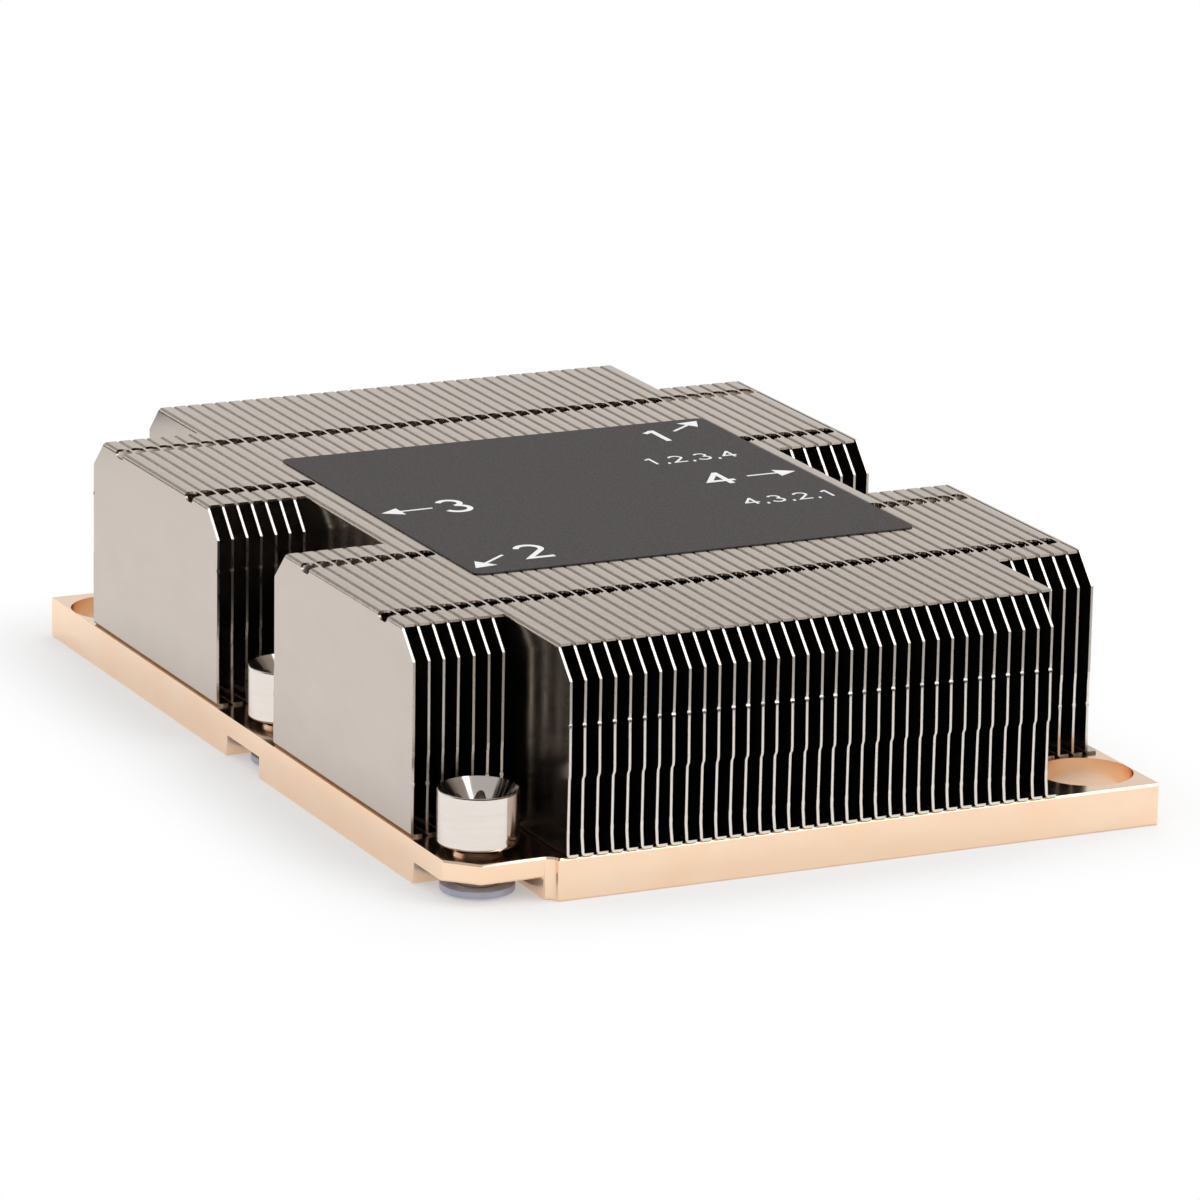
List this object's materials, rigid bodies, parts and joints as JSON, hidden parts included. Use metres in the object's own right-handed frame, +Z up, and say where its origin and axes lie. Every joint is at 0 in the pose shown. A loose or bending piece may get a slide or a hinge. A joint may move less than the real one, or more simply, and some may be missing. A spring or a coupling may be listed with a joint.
{
  "type": "passive server cpu heatsink",
  "caption": "Low passive processor cooler: folded interlocked fins on a copper base, with captive corner and side nuts, guide holes and a numbered label.",
  "frame": {"origin": "middle of the flat contact face under the base", "axes": "+X along the front edge to the right, +Y from front to back along the fins, +Z up through the fins"},
  "size_m": [0.078, 0.108, 0.0255],
  "materials": {
    "copper": "milled bare copper",
    "fin_metal": "rolled sheet, satin",
    "nut_steel": "turned and polished plated steel",
    "washer_plastic": "moulded pale plastic",
    "label": "matt printed film"
  },
  "bodies": {
    "heatsink": {"base_plate": "copper", "label": "label", "fin_01": "fin_metal", "fin_02": "fin_metal", "fin_03": "fin_metal", "fin_04": "fin_metal", "fin_05": "fin_metal", "fin_06": "fin_metal", "fin_07": "fin_metal", "fin_08": "fin_metal", "fin_09": "fin_metal", "fin_10": "fin_metal", "fin_11": "fin_metal", "fin_12": "fin_metal", "fin_13": "fin_metal", "fin_14": "fin_metal", "fin_15": "fin_metal", "fin_16": "fin_metal", "fin_17": "fin_metal", "fin_18": "fin_metal", "fin_19": "fin_metal", "fin_20": "fin_metal", "fin_21": "fin_metal", "fin_22": "fin_metal", "fin_23": "fin_metal", "fin_24": "fin_metal", "fin_25": "fin_metal", "fin_26": "fin_metal", "fin_27": "fin_metal", "fin_28": "fin_metal", "fin_29": "fin_metal", "fin_30": "fin_metal", "fin_31": "fin_metal", "fin_32": "fin_metal", "fin_33": "fin_metal", "fin_34": "fin_metal", "fin_35": "fin_metal", "fin_36": "fin_metal", "fin_37": "fin_metal", "fin_38": "fin_metal", "fin_39": "fin_metal", "fin_40": "fin_metal", "fin_41": "fin_metal", "fin_42": "fin_metal", "fin_43": "fin_metal", "fin_44": "fin_metal", "fin_45": "fin_metal", "fin_46": "fin_metal", "fin_47": "fin_metal", "fin_48": "fin_metal"},
    "retainer_1": {"retaining_washer_1": "washer_plastic"},
    "nut_1": {"captive_nut_1": "nut_steel"},
    "retainer_2": {"retaining_washer_2": "washer_plastic"},
    "nut_2": {"captive_nut_2": "nut_steel"},
    "retainer_3": {"retaining_washer_3": "washer_plastic"},
    "nut_3": {"captive_nut_3": "nut_steel"},
    "retainer_4": {"retaining_washer_4": "washer_plastic"},
    "nut_4": {"captive_nut_4": "nut_steel"}
  },
  "joints": [
    {"name": "nut_float_1", "type": "slide", "parent": "heatsink", "child": "retainer_1", "axis": [0, 0, 1], "range_m": [0, 0.0013]},
    {"name": "nut_turn_1", "type": "hinge", "parent": "retainer_1", "child": "nut_1", "pos_m": [0.034, 0.0474, 0.0044], "axis": [0, 0, 1], "continuous": true},
    {"name": "nut_float_2", "type": "slide", "parent": "heatsink", "child": "retainer_2", "axis": [0, 0, 1], "range_m": [0, 0.0013]},
    {"name": "nut_turn_2", "type": "hinge", "parent": "retainer_2", "child": "nut_2", "pos_m": [-0.034, -0.0474, 0.0044], "axis": [0, 0, 1], "continuous": true},
    {"name": "nut_float_3", "type": "slide", "parent": "heatsink", "child": "retainer_3", "axis": [0, 0, 1], "range_m": [0, 0.0013]},
    {"name": "nut_turn_3", "type": "hinge", "parent": "retainer_3", "child": "nut_3", "pos_m": [-0.034, 0, 0.0044], "axis": [0, 0, 1], "continuous": true},
    {"name": "nut_float_4", "type": "slide", "parent": "heatsink", "child": "retainer_4", "axis": [0, 0, 1], "range_m": [0, 0.0013]},
    {"name": "nut_turn_4", "type": "hinge", "parent": "retainer_4", "child": "nut_4", "pos_m": [0.034, 0, 0.0044], "axis": [0, 0, 1], "continuous": true}
  ]
}
